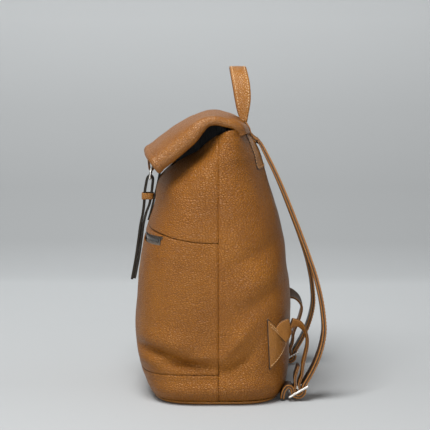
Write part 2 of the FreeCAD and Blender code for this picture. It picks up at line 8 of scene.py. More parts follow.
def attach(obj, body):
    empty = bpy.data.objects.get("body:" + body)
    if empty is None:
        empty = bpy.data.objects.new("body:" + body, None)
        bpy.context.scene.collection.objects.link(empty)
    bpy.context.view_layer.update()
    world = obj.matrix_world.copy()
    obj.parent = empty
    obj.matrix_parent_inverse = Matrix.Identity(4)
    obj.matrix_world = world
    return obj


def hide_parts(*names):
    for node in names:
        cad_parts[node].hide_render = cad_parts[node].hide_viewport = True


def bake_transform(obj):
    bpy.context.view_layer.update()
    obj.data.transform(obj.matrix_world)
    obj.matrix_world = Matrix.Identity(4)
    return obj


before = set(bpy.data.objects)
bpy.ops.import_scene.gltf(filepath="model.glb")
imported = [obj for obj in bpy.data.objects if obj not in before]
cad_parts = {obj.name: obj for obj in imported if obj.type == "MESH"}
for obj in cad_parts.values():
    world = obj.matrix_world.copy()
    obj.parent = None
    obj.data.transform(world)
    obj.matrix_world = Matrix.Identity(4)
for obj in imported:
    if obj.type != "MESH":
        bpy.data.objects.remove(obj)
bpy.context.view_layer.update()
MM = 0.001

# --- shape tables, in millimetres: BODY is the CAD part's, and the others are fitted to the photo ------------

# Height, half width, front, back, squareness of the rounded plan.
BODY = (
    (0.0, 131.5, -71.0, 74.0, 3.9),
    (6.0, 134.0, -74.5, 79.0, 4.0),
    (14.0, 136.5, -78.0, 83.5, 4.0),
    (32.0, 139.0, -86.0, 87.5, 4.0),
    (70.0, 142.0, -92.5, 88.0, 4.0),
    (112.0, 142.0, -91.0, 88.0, 4.0),
    (150.0, 140.0, -88.0, 85.0, 3.8),
    (186.0, 137.0, -82.5, 79.5, 3.5),
    (222.0, 132.0, -70.5, 71.0, 3.1),
    (250.0, 128.0, -59.5, 62.0, 2.8),
    (268.0, 125.0, -46.0, 56.5, 2.6),
    (285.0, 123.0, -23.0, 50.5, 2.4),
    (300.0, 121.0, -10.0, 42.5, 2.3),
    (313.0, 119.0, 0.0, 33.5, 2.2),
)
RIM = ((-53.0, 261.0), (-47.5, 266.0), (-38.0, 274.0), (-20.0, 285.0), (-9.0, 296.0), (1.0, 304.5), (12.0, 311.0))
RIM += ((16.0, 312.6), (40.0, 312.9))
COLLAR_TOP = ((-56.0, 266.0), (-44.0, 281.0), (-29.0, 299.0), (-18.0, 312.5), (-8.0, 317.5), (2.0, 317.5))
COLLAR_TOP += ((14.0, 311.0), (24.0, 306.0), (40.0, 304.0))
SIDE_SEAM_Y = 4.0
BAND_SEAM_Z = 35.0
ZIP_Z = 187.0
# Station along the flap: y and z on the centre line, y and z at the side edge, half width.
FLAP = (
    (38.9, 306.5, 27.0, 310.5, 113.0),
    (36.6, 313.3, 24.5, 317.0, 116.0),
    (29.5, 318.6, 19.5, 321.5, 119.0),
    (14.0, 323.3, 10.5, 325.0, 122.0),
    (0.0, 325.3, 1.5, 327.5, 124.0),
    (-12.0, 325.6, -8.0, 325.5, 125.0),
    (-26.0, 322.0, -17.5, 317.0, 126.0),
    (-44.0, 313.0, -30.0, 299.0, 127.0),
    (-63.0, 300.0, -46.0, 282.5, 127.0),
    (-83.0, 284.0, -64.0, 269.5, 127.0),
)


# --- curves and grids ----------------------------------------------------------------------------------------


def curve(keys, values):
    """A smooth function through values at increasing keys."""
    keys, values = np.array(keys, float), np.array(values, float)
    slopes = np.gradient(values, keys, axis=0)

    def at(t):
        t = np.clip(np.asarray(t, float), keys[0], keys[-1])
        i = np.clip(np.searchsorted(keys, t, "right") - 1, 0, len(keys) - 2)
        h = (keys[i + 1] - keys[i])[..., None]
        s = (t - keys[i])[..., None] / h
        near = (1 + 2 * s) * (1 - s) ** 2 * values[i] + s * (1 - s) ** 2 * h * slopes[i]
        return near + s * s * (3 - 2 * s) * values[i + 1] + s * s * (s - 1) * h * slopes[i + 1]

    return at


def resample(points, step, extra=None):
    """Points along a smooth line, step apart, with any extra columns carried along."""
    points = np.array(points, float)
    keys = np.concatenate([[0], np.cumsum(np.linalg.norm(np.diff(points, axis=0), axis=1))])
    count = max(3, int(round(keys[-1] / step)) + 1)
    t = np.linspace(0, keys[-1], count)
    found = curve(keys, points)(t)
    return found if extra is None else (found, curve(keys, extra)(t))


def unit(v):
    return v / np.maximum(np.linalg.norm(v, axis=-1, keepdims=True), 1e-12)


def smoothstep(a, b, x):
    t = np.clip((x - a) / (b - a), 0, 1)
    return t * t * (3 - 2 * t)


def noise_at(points, scale, seed=0.0):
    """Smooth noise in -1..1 at points in millimetres. scale is the size of its features."""
    flat = points.reshape(-1, 3) / scale + seed
    return np.array([noise.noise(Vector(p)) for p in flat]).reshape(points.shape[:-1])


def mesh_object(name, verts, faces, materials, indices=None):
    mesh = bpy.data.meshes.new(name)
    mesh.from_pydata([tuple(v) for v in np.asarray(verts, float) * MM], [], [tuple(f) for f in faces])
    for material in materials:
        mesh.materials.append(material)
    if indices is not None:
        mesh.polygons.foreach_set("material_index", np.asarray(indices, np.int32))
    mesh.polygons.foreach_set("use_smooth", np.full(len(mesh.polygons), True))
    mesh.validate()
    obj = bpy.data.objects.new(name, mesh)
    bpy.context.scene.collection.objects.link(obj)
    return obj


def grid_faces(rows, cols, closed=False):
    """Quads of a grid of rows x cols vertices. closed joins the last column to the first."""
    r, c = np.meshgrid(np.arange(rows - 1), np.arange(cols if closed else cols - 1), indexing="ij")
    r, c = r.ravel(), c.ravel()
    n = (c + 1) % cols
    return np.stack([r * cols + c, r * cols + n, (r + 1) * cols + n, (r + 1) * cols + c], 1)


def thicken(obj, thickness, bevel=0.0, offset=-1.0):
    solid = obj.modifiers.new("thickness", "SOLIDIFY")
    solid.thickness = thickness * MM
    solid.offset = offset
    solid.use_even_offset = False
    if bevel:
        soft = obj.modifiers.new("edge", "BEVEL")
        soft.width = bevel * MM
        soft.segments = 3
        soft.limit_method = "ANGLE"
        soft.angle_limit = math.radians(50)
    return obj


# --- the body's skin -----------------------------------------------------------------------------------------

row_at = curve([r[0] for r in BODY], [r[1:] for r in BODY])
HEIGHTS = np.linspace(0, 313, 315)
STEPS = np.linspace(0, 1, 361)


def half_table(front):
    """x and y round one half of the plan, from the right side seam to the left, at every height."""
    table = np.zeros((len(HEIGHTS), len(STEPS), 2))
    for i, (half, near, far, power) in enumerate(row_at(HEIGHTS)):
        middle, reach = (near + far) / 2, (far - near) / 2
        v = (SIDE_SEAM_Y - middle) / reach
        start = math.asin(math.copysign(abs(v) ** (power / 2), v))
        end = -math.pi - start if front else math.pi - start
        a = np.linspace(start, end, 1500)
        c, s = np.cos(a), np.sin(a)
        x = half * np.sign(c) * np.abs(c) ** (2 / power)
        y = middle + reach * np.sign(s) * np.abs(s) ** (2 / power)
        run = np.concatenate([[0], np.cumsum(np.hypot(np.diff(x), np.diff(y)))])
        run /= run[-1]
        table[i, :, 0] = np.interp(STEPS, run, x)
        table[i, :, 1] = np.interp(STEPS, run, y)
    return table


TABLES = {True: half_table(True), False: half_table(False)}


def bare_skin(front, s, z):
    """Points of the undented skin. s runs from the right side seam to the left."""
    table = TABLES[front]
    s, z = np.broadcast_arrays(np.asarray(s, float), np.asarray(z, float))
    fz = np.clip(z, 0, HEIGHTS[-1]) / (HEIGHTS[1] - HEIGHTS[0])
    fs = np.clip(s, 0, 1) * (len(STEPS) - 1)
    i, j = np.minimum(fz.astype(int), len(HEIGHTS) - 2), np.minimum(fs.astype(int), len(STEPS) - 2)
    u, v = (fz - i)[..., None], (fs - j)[..., None]
    xy = table[i, j] * (1 - u) * (1 - v) + table[i + 1, j] * u * (1 - v)
    xy += table[i, j + 1] * (1 - u) * v + table[i + 1, j + 1] * u * v
    return np.concatenate([xy, z[..., None]], -1)


def skin_normal(front, s, z):
    ds, dz = 0.004, 1.5
    along = bare_skin(front, np.clip(s + ds, 0, 1), z) - bare_skin(front, np.clip(s - ds, 0, 1), z)
    z = np.clip(z, dz, HEIGHTS[-1] - dz)
    up = bare_skin(front, s, z + dz) - bare_skin(front, s, z - dz)
    out = unit(np.cross(along, up))
    return -out if front else out


def bump_at(y, z, cy, cz, ry, rz, turn=0.0):
    """A soft bump of height 1 over an ellipse, turned by degrees."""
    c, s = math.cos(math.radians(turn)), math.sin(math.radians(turn))
    a, b = (y - cy) * c + (z - cz) * s, -(y - cy) * s + (z - cz) * c
    return np.exp(-((a / ry) ** 2) - (b / rz) ** 2)


def folds(p):
    """How far the soft leather stands out of or into its plain shape, in millimetres."""
    x, y, z = p[..., 0], p[..., 1], p[..., 2]
    d = 1.5 * noise_at(p, 75.0, 3.1) + 0.8 * noise_at(p, 30.0, 7.7) + 0.22 * noise_at(p, 11.0, 5.5)
    side = smoothstep(60, 120, np.abs(x))
    left = np.where(x < 0, 9.0, 0.0)
    d -= side * 9.0 * bump_at(y, z, -62, 59 + left * 0.5, 26, 5.5, -15)
    d -= side * 11.0 * bump_at(y, z, -38, 47 + left * 0.5, 20, 6.5, -4)
    d -= side * 4.0 * bump_at(y, z, -12, 42, 20, 5.0, 4)
    d += side * 3.4 * bump_at(y, z, -44, 72 + left * 0.5, 34, 10, -14)
    d += side * 3.2 * bump_at(y, z, -74, 50 + left * 0.5, 18, 8, -14)
    d += side * 6.0 * bump_at(y, z, -30, 18, 46, 12, 2)
    d += side * 4.5 * bump_at(y, z, 40, 21, 40, 12, 4)
    d += side * 2.2 * bump_at(y, z, -14, 57, 20, 6.0, 10)
    d -= side * 4.5 * bump_at(y, z, 42, 58 + left, 24, 6.5, 54)
    d += side * 3.2 * bump_at(y, z, 24, 73 + left, 32, 7.5, 48)
    d += side * 2.1 * bump_at(y, z, 44, 58 + left, 26, 6.5, 52)
    d -= side * 2.2 * bump_at(y, z, 52, 120, 34, 9, 35)
    d += side * 2.4 * bump_at(y, z, 40, 138, 36, 12, 32)
    d -= side * 1.8 * bump_at(y, z, 46, 172, 34, 9, 28)
    d -= side * 4.0 * bump_at(y, z, 22, 44, 18, 5, 30)
    front = smoothstep(30, 80, -y) * (1 - side)
    d += front * 2.0 * bump_at(x, z, 0, 95, 90, 50)
    d -= front * 2.2 * bump_at(x, z, -55, 52, 45, 8, 6) + front * 1.8 * bump_at(x, z, 48, 50, 50, 8, -5)
    back = smoothstep(30, 80, y) * (1 - side)
    d -= back * 1.6 * bump_at(x, z, 10, 150, 80, 14, 4) + back * 1.5 * bump_at(x, z, -30, 70, 60, 10, -6)
    ripple = np.sin(z / 2.6 + 1.6 * noise_at(p, 22.0, 1.3)) * smoothstep(262, 285, z) * smoothstep(3, 20, y)
    d += 0.3 * ripple * side
    d += 5.5 * np.exp(-(((z - 246.0) / 17.0) ** 2)) * smoothstep(-30, -50, y)
    calm = 1 - 0.85 * smoothstep(16, 6, np.abs(z - ZIP_Z)) * smoothstep(-40, -58, y)
    calm *= smoothstep(0, 16, z) * (1 - 0.6 * smoothstep(285, 305, z))
    calm *= 1 - 0.75 * smoothstep(14, 3, np.abs(z - BAND_SEAM_Z)) * (y < SIDE_SEAM_Y)
    calm *= 1 - 0.7 * bump_at(y, z, 66, 70, 26, 36) * side
    return d * calm


def skin(front, s, z, out=0.0):
    """Points of the dented skin, and its outward directions."""
    bare = bare_skin(front, s, z)
    normal = skin_normal(front, s, z)
    return bare + normal * (folds(bare) + out)[..., None], normal


def line_height(front, s, table):
    """Where a sloping line of (y, z) points crosses each s."""
    ys, zs = [p[0] for p in table], [p[1] for p in table]
    low, high = np.full(s.shape, 0.0), np.full(s.shape, HEIGHTS[-1])
    for _ in range(22):
        middle = (low + high) / 2
        under = middle < np.interp(bare_skin(front, s, middle)[..., 1], ys, zs)
        low, high = np.where(under, middle, low), np.where(under, high, middle)
    return low


POCKET_SEAM = [(-96.0 + i * 5, 186.5 + 8.5 * (min(0.0, -96.0 + i * 5) / 61) ** 2) for i in range(21)]


def spaced(length, step, fine):
    """Shares of a length, close together at its ends."""
    ends = [d for d in fine if d < length / 3]
    middle = np.linspace(ends[-1], length - ends[-1], max(3, int((length - 2 * ends[-1]) / step)))
    return np.concatenate([ends[:-1], middle, [length - d for d in ends[::-1][1:]]]) / length


def edge_dip(distance, depth, width):
    return -depth * np.clip(1 - distance / width, 0, 1) ** 2


HALF_RUN = 430.0  # the length round half of the body
PANEL_STEP = 2.2
PANEL_THICKNESS = 1.7
PANEL_EDGE = [0, 0.35, 0.8, 1.4, 2.2, 3.2, 4.4]  # closer rows near an edge, as distances from it


def panel(name, front, low, high, material, dips, out=0.0, hole=None, levels=()):
    """A leather panel between two lines of (y, z) points. dips are how deep its side, low and high edges roll in."""
    s = 0.0011 + 0.9978 * spaced(HALF_RUN, PANEL_STEP, PANEL_EDGE)
    bottom, top = line_height(front, s, low), line_height(front, s, high)
    edges = [bottom, *[np.minimum(level, top - 1.5 * (len(levels) - i)) for i, level in enumerate(levels)], top]
    rows = []
    for a, b in zip(edges, edges[1:]):
        share = spaced(float(np.max(b - a)), PANEL_STEP, PANEL_EDGE)[:, None]
        rows.append((a + (b - a) * share)[1 if rows else 0 :])
    z = np.concatenate(rows)
    grid_s = np.broadcast_to(s, z.shape)
    points, normals = skin(front, grid_s, z, out)
    side = np.minimum(grid_s, 1 - grid_s) * HALF_RUN
    dip = edge_dip(side, dips[0], 3.4) + edge_dip(z - bottom, dips[1], 3.0) + edge_dip(top - z, dips[2], 3.0)
    points = points + normals * dip[..., None]
    faces = grid_faces(*z.shape)
    # Faces next to the side seam and the low and high edges take near-black leather: painted shade in the seams.
    ends = np.minimum(z - bottom, top - z)
    seam = (side.reshape(-1)[faces].mean(1) < 1.3) | (ends.reshape(-1)[faces].mean(1) < 0.5)
    if hole is not None:
        centre = points.reshape(-1, 3)[faces].mean(1)
        kept = ~hole(centre)
        faces, seam = faces[kept], seam[kept]
    if not front:
        faces = faces[:, ::-1]
    return thicken(mesh_object(name, points.reshape(-1, 3), faces, [material, M_SEAM_SHADE], seam), PANEL_THICKNESS)


def arc_of(front, z, test):
    """The s values where test(points) holds at a height."""
    s = np.linspace(0, 1, 900)
    return s[test(bare_skin(front, s, np.full(s.shape, float(z))))]


# --- materials -----------------------------------------------------------------------------------------------


def new_material(name):
    material = bpy.data.materials.new(name)
    material.use_nodes = True
    tree = material.node_tree
    return material, tree, tree.nodes["Principled BSDF"]


def add(tree, kind, **inputs):
    node = tree.nodes.new(kind)
    for key, value in inputs.items():
        target = node.inputs[key.replace("_", " ")]
        if isinstance(value, bpy.types.NodeSocket):
            tree.links.new(value, target)
        else:
            target.default_value = value
    return node


def ramp(tree, fac, stops):
    node = tree.nodes.new("ShaderNodeValToRGB")
    tree.links.new(fac, node.inputs[0])
    elements = node.color_ramp.elements
    while len(elements) < len(stops):
        elements.new(0.5)
    for element, (place, colour) in zip(elements, stops):
        element.position = place
        element.color = (*colour, 1) if len(colour) == 3 else colour
    return node.outputs[0]


def math_node(tree, operation, a, b=0.0, c=0.0):
    node = tree.nodes.new("ShaderNodeMath")
    node.operation = operation
    for i, value in enumerate((a, b, c)):
        if isinstance(value, bpy.types.NodeSocket):
            tree.links.new(value, node.inputs[i])
        else:
            node.inputs[i].default_value = value
    return node.outputs[0]


def leather(name, dark, light, grain=400.0, depth=0.0007, rough=(0.38, 0.56), wrinkle=0.35, specular=0.5,
            ripple=0.0):
    """Pebbled leather: rounded cells with painted shade in their valleys, faint wrinkles and an uneven tone."""
    material, tree, shader = new_material(name)
    place = add(tree, "ShaderNodeTexCoord").outputs["Object"]
    squash = tree.nodes.new("ShaderNodeMapping")
    squash.inputs["Scale"].default_value = (0.8, 0.8, 1.3)
    tree.links.new(place, squash.inputs["Vector"])
    warp = add(tree, "ShaderNodeTexNoise", Vector=place, Scale=90.0, Detail=1.0).outputs["Color"]
    moved = tree.nodes.new("ShaderNodeVectorMath")
    moved.operation = "MULTIPLY_ADD"
    tree.links.new(warp, moved.inputs[0])
    moved.inputs[1].default_value = (0.002, 0.002, 0.002)
    tree.links.new(squash.outputs[0], moved.inputs[2])
    cells = tree.nodes.new("ShaderNodeTexVoronoi")
    cells.feature = "DISTANCE_TO_EDGE"
    tree.links.new(moved.outputs[0], cells.inputs["Vector"])
    cells.inputs["Scale"].default_value = grain
    pebble = ramp(tree, cells.outputs["Distance"], ((0.0, (0, 0, 0)), (0.14, (0.62, 0.62, 0.62)), (0.45, (1, 1, 1))))
    fine = add(tree, "ShaderNodeTexNoise", Vector=place, Scale=grain * 3.0, Detail=3.0).outputs["Fac"]
    crease = add(tree, "ShaderNodeTexNoise", Vector=squash.outputs[0], Scale=110.0, Detail=3.0, Distortion=0.4)
    tone = add(tree, "ShaderNodeTexNoise", Vector=place, Scale=14.0, Detail=6.0, Roughness=0.62).outputs["Fac"]
    height = math_node(tree, "MULTIPLY_ADD", fine, 0.2, pebble)
    height = math_node(tree, "MULTIPLY_ADD", crease.outputs["Fac"], wrinkle * 3.0, height)
    if ripple:
        wave = add(tree, "ShaderNodeTexWave", Vector=place, Scale=80.0, Distortion=5.0, Detail=2.0, Detail_Scale=1.5)
        wave.bands_direction = "Z"
        where = ramp(tree, add(tree, "ShaderNodeTexNoise", Vector=place, Scale=11.0).outputs["Fac"],
                     ((0.42, (0, 0, 0)), (0.62, (1, 1, 1))))
        mask = math_node(tree, "MULTIPLY", where, ripple)
        height = math_node(tree, "MULTIPLY_ADD", wave.outputs["Fac"], mask, height)
    bump = add(tree, "ShaderNodeBump", Strength=1.0, Distance=depth, Height=height)
    tree.links.new(bump.outputs[0], shader.inputs["Normal"])
    body = ramp(tree, tone, ((0.32, dark), (0.68, light)))
    # Painted shade: the base colour darkens towards the valleys between the pebbles.
    valley_shade = ramp(tree, pebble, ((0.0, (0.70, 0.60, 0.48)), (0.6, (1, 1, 1))))
    mix = tree.nodes.new("ShaderNodeMix")
    mix.data_type = "RGBA"
    mix.blend_type = "MULTIPLY"
    mix.inputs[0].default_value = 1.0
    tree.links.new(body, mix.inputs[6])
    tree.links.new(valley_shade, mix.inputs[7])
    tree.links.new(mix.outputs[2], shader.inputs["Base Color"])
    roughness = math_node(tree, "MULTIPLY_ADD", pebble, rough[0] - rough[1], rough[1])
    tree.links.new(roughness, shader.inputs["Roughness"])
    shader.inputs["Specular IOR Level"].default_value = specular
    shader.inputs["Specular Tint"].default_value = (1.0, 0.89, 0.72, 1)
    return material


def fabric(name, dark, light, pitch=0.0007):
    """A plain weave."""
    material, tree, shader = new_material(name)
    place = add(tree, "ShaderNodeTexCoord").outputs["Object"]
    heights = []
    for direction in ("X", "Y", "Z"):
        wave = tree.nodes.new("ShaderNodeTexWave")
        wave.bands_direction = direction
        wave.inputs["Scale"].default_value = 0.314 / pitch
        wave.inputs["Distortion"].default_value = 0.6
        tree.links.new(place, wave.inputs["Vector"])
        heights.append(wave.outputs["Fac"])
    weave = math_node(tree, "ADD", math_node(tree, "ADD", heights[0], heights[1]), heights[2])
    weave = math_node(tree, "MULTIPLY", weave, 0.333)
    slub = add(tree, "ShaderNodeTexNoise", Vector=place, Scale=90.0, Detail=5.0).outputs["Fac"]
    both = math_node(tree, "MULTIPLY_ADD", slub, 0.6, weave)
    bump = add(tree, "ShaderNodeBump", Strength=0.8, Distance=0.0002, Height=both)
    tree.links.new(bump.outputs[0], shader.inputs["Normal"])
    tree.links.new(ramp(tree, both, ((0.3, dark), (1.0, light))), shader.inputs["Base Color"])
    shader.inputs["Roughness"].default_value = 0.85
    shader.inputs["Specular IOR Level"].default_value = 0.25
    return material


def metal(name, colour, rough=0.22):
    material, tree, shader = new_material(name)
    place = add(tree, "ShaderNodeTexCoord").outputs["Object"]
    scratch = add(tree, "ShaderNodeTexNoise", Vector=place, Scale=700.0, Detail=6.0, Distortion=2.0).outputs["Fac"]
    wear = add(tree, "ShaderNodeTexNoise", Vector=place, Scale=120.0, Detail=4.0).outputs["Fac"]
    tree.links.new(math_node(tree, "MULTIPLY_ADD", wear, 0.3, rough - 0.08), shader.inputs["Roughness"])
    bump = add(tree, "ShaderNodeBump", Strength=0.15, Distance=0.0001, Height=scratch)
    tree.links.new(bump.outputs[0], shader.inputs["Normal"])
    tree.links.new(
        ramp(tree, wear, ((0.3, tuple(0.8 * c for c in colour)), (0.7, colour))), shader.inputs["Base Color"]
    )
    shader.inputs["Metallic"].default_value = 1.0
    return material


def thread(name, dark, light):
    material, tree, shader = new_material(name)
    place = add(tree, "ShaderNodeTexCoord").outputs["Object"]
    twist = tree.nodes.new("ShaderNodeTexWave")
    twist.bands_direction = "DIAGONAL"
    twist.inputs["Scale"].default_value = 700.0
    tree.links.new(place, twist.inputs["Vector"])
    bump = add(tree, "ShaderNodeBump", Strength=0.6, Distance=0.0001, Height=twist.outputs["Fac"])
    tree.links.new(bump.outputs[0], shader.inputs["Normal"])
    tree.links.new(ramp(tree, twist.outputs["Fac"], ((0.2, dark), (0.8, light))), shader.inputs["Base Color"])
    shader.inputs["Roughness"].default_value = 0.6
    return material


TAN_DARK, TAN_LIGHT = (0.225, 0.074, 0.003), (0.293, 0.104, 0.006)
M_BODY = leather("body_leather", TAN_DARK, TAN_LIGHT, ripple=0.25)
# Painted shade: near-black leather laid on the panels' faces along their seams and edges.
M_SEAM_SHADE = leather("seam_shade_leather", (0.045, 0.014, 0.002), (0.06, 0.02, 0.004), rough=(0.6, 0.8), specular=0.15)
M_FLAP = leather("flap_leather", TAN_DARK, TAN_LIGHT, grain=400.0, depth=0.00045, wrinkle=0.3, rough=(0.36, 0.52),
                 specular=0.8)
M_TRIM = leather("trim_leather", (0.30, 0.112, 0.012), (0.38, 0.155, 0.020), grain=480.0, depth=0.0004, wrinkle=0.25,
                 rough=(0.33, 0.48), specular=0.75)
M_STRAP = leather("strap_leather", (0.32, 0.125, 0.020), (0.40, 0.170, 0.032), grain=600.0, depth=0.0003, wrinkle=0.2)
M_INNER = leather("strap_lining", (0.055, 0.026, 0.015), (0.090, 0.045, 0.027), grain=600.0, depth=0.0002)
M_PAINT = leather("edge_paint", (0.030, 0.013, 0.008), (0.055, 0.026, 0.016), grain=900.0, depth=0.0001, wrinkle=0.1)
M_BLACK = leather("black_leather", (0.006, 0.005, 0.005), (0.014, 0.012, 0.011), grain=600.0, depth=0.0002)
M_BASE = leather("base_leather", (0.10, 0.045, 0.016), (0.15, 0.07, 0.027), grain=430.0)
M_LINING = fabric("lining", (0.004, 0.004, 0.0045), (0.016, 0.016, 0.018))
M_TAPE = fabric("zip_tape", (0.10, 0.085, 0.07), (0.24, 0.21, 0.18), pitch=0.0009)
M_METAL = metal("pale_metal", (0.78, 0.76, 0.72))
M_ZIP = metal("zip_metal", (0.30, 0.285, 0.27), 0.3)
M_DARK = metal("dark_metal", (0.16, 0.155, 0.15), 0.3)
M_THREAD = thread("thread_tan", (0.36, 0.17, 0.06), (0.60, 0.33, 0.14))
M_THREAD_PALE = thread("thread_pale", (0.55, 0.33, 0.15), (0.80, 0.55, 0.30))
M_BOARD = fabric("board", (0.10, 0.07, 0.045), (0.17, 0.13, 0.09), pitch=0.0012)


# --- stitches, straps, tubes ---------------------------------------------------------------------------------


def stitches(name, lines, material, body, pitch=4.0, length=2.9, radius=0.42, blend=None):
    """Rows of thread stitches. Each line is (points, outward directions) in millimetres."""
    ring = [(math.cos(math.tau * k / 6), math.sin(math.tau * k / 6)) for k in range(6)]
    stations = ((-0.5, 0.25, -0.35), (-0.3, 0.95, 0.0), (0.0, 1.0, 0.12), (0.3, 0.95, 0.0), (0.5, 0.25, -0.35))
    verts, faces = [], []
    for points, outward in lines:
        run = np.concatenate([[0], np.cumsum(np.linalg.norm(np.diff(points, axis=0), axis=1))])
        places = np.arange(pitch / 2, run[-1], pitch)
        at, ahead = curve(run, points)(places), curve(run, points)(np.minimum(places + 0.5, run[-1]))
        behind = curve(run, points)(places - 0.5)
        up = unit(curve(run, outward)(places))
        along = unit(ahead - behind)
        side = unit(np.cross(along, up))
        for p, a, u, w in zip(at, along, up, side):
            base = len(verts)
            for share, size, lift in stations:
                centre = p + a * (share * length) + u * (lift * radius * 2)
                verts += [centre + (u * c * 0.8 + w * s) * radius * size for c, s in ring]
            faces += [tuple(base + i for i in face) for face in grid_faces(5, 6, True)]
            faces += [tuple(base + k for k in range(5, -1, -1)), tuple(base + 24 + k for k in range(6))]
    obj = mesh_object(name, verts, faces, [material])
    if blend:
        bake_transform(obj)
    else:
        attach(obj, body)
    return obj


# Round a strap's section: across and outward, as shares of its half width and half thickness.
STRAP_SECTION = (
    (-1, -0.55), (-0.93, -1), (-0.6, -1), (0, -1), (0.6, -1), (0.93, -1), (1, -0.55), (1, -0.4), (1, 0.4), (1, 0.75),
    (0.94, 1), (0.6, 1), (0, 1), (-0.6, 1), (-0.94, 1), (-1, 0.75), (-1, 0.4), (-1, -0.4),
)


def band(name, route, across, width, thickness, materials, step=3.0, crown=0.0, groove=0.25):
    """A flat strap along a route. materials are for its outer face and edges, its inner face and its edge's core.

    Returns the object and the frames along it: places, across, outward, half width, half thickness."""
    width = np.broadcast_to(np.asarray(width, float), (len(route),))
    thickness = np.broadcast_to(np.asarray(thickness, float), (len(route),))
    places, rest = resample(route, step, np.column_stack([across, width, thickness]))
    along = unit(np.gradient(places, axis=0))
    side = rest[:, :3]
    side = unit(side - along * np.sum(side * along, axis=1, keepdims=True))
    out = unit(np.cross(side, along))
    w, t = rest[:, 3] / 2, rest[:, 4] / 2
    columns = []
    for a, b in STRAP_SECTION:
        edge = np.where(abs(a) == 1, 1.0, 0.0)
        inset = groove if abs(a) == 1 and abs(b) < 0.5 else 0.0
        lift = crown * (1 - a * a) if b > 0 else 0.0
        columns.append(places + side * (a * w - np.sign(a) * inset * edge)[:, None] + out * (b * t + lift)[:, None])
    points = np.stack(columns, 1)
    rows, cols = points.shape[:2]
    faces = grid_faces(rows, cols, True)
    kinds = []
    for k in range(cols):
        (a0, b0), (a1, b1) = STRAP_SECTION[k], STRAP_SECTION[(k + 1) % cols]
        if abs(a0) == 1 and abs(a1) == 1 and abs(b0) < 0.5 and abs(b1) < 0.5:
            kinds.append(2)
        elif b0 <= -0.5 and b1 <= -0.5 and abs(a0) < 1 and abs(a1) < 1:
            kinds.append(1)
        else:
            kinds.append(0)
    indices = np.tile(kinds, rows - 1)
    faces = [tuple(f) for f in faces] + [tuple(range(cols))[::-1], tuple((rows - 1) * cols + k for k in range(cols))]
    indices = np.concatenate([indices, [2, 2]])
    obj = mesh_object(name, points.reshape(-1, 3), faces, materials, indices)
    return obj, (places, side, out, w, t)


def strap_stitches(frames, inset, sides=(-1, 1), start=4, end=4, lift=0.1):
    """Stitch lines along a strap's edges, on its outer face."""
    places, side, out, w, t = (part[start : len(part) - end] for part in frames)
    return [(places + side * ((w - inset) * k)[:, None] + out * (t + lift)[:, None], out) for k in sides]


TUBE_SIDES = 10


def tube(name, points, radius, materials, closed=False):
    points = np.asarray(points, float)
    if closed:
        along = unit(np.roll(points, -1, 0) - np.roll(points, 1, 0))
    else:
        along = unit(np.gradient(points, axis=0))
    reference = np.where(np.abs(along[:, 2:3]) > 0.9, [[1.0, 0, 0]], [[0, 0, 1.0]])
    a = unit(np.cross(along, reference))
    b = np.cross(along, a)
    angles = (np.arange(TUBE_SIDES) * math.tau / TUBE_SIDES)[None, :, None]
    ring = points[:, None] + radius * (a[:, None] * np.cos(angles) + b[:, None] * np.sin(angles))
    rows = len(points)
    if closed:
        ring = np.concatenate([ring, ring[:1]])
        rows += 1
    faces = [tuple(f) for f in grid_faces(rows, TUBE_SIDES, True)]
    if not closed:
        faces += [tuple(range(TUBE_SIDES))[::-1], tuple((rows - 1) * TUBE_SIDES + k for k in range(TUBE_SIDES))]
    return mesh_object(name, ring.reshape(-1, 3), faces, materials)


def place(obj, body, slot, *nodes):
    """obj stands for CAD nodes, which it hides, and rides on a body. slot is not used."""
    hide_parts(*nodes)
    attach(obj, body)
    return obj


# --- body ----------------------------------------------------------------------------------------------------


def flat_line(z):
    return [(-200.0, z), (200.0, z)]


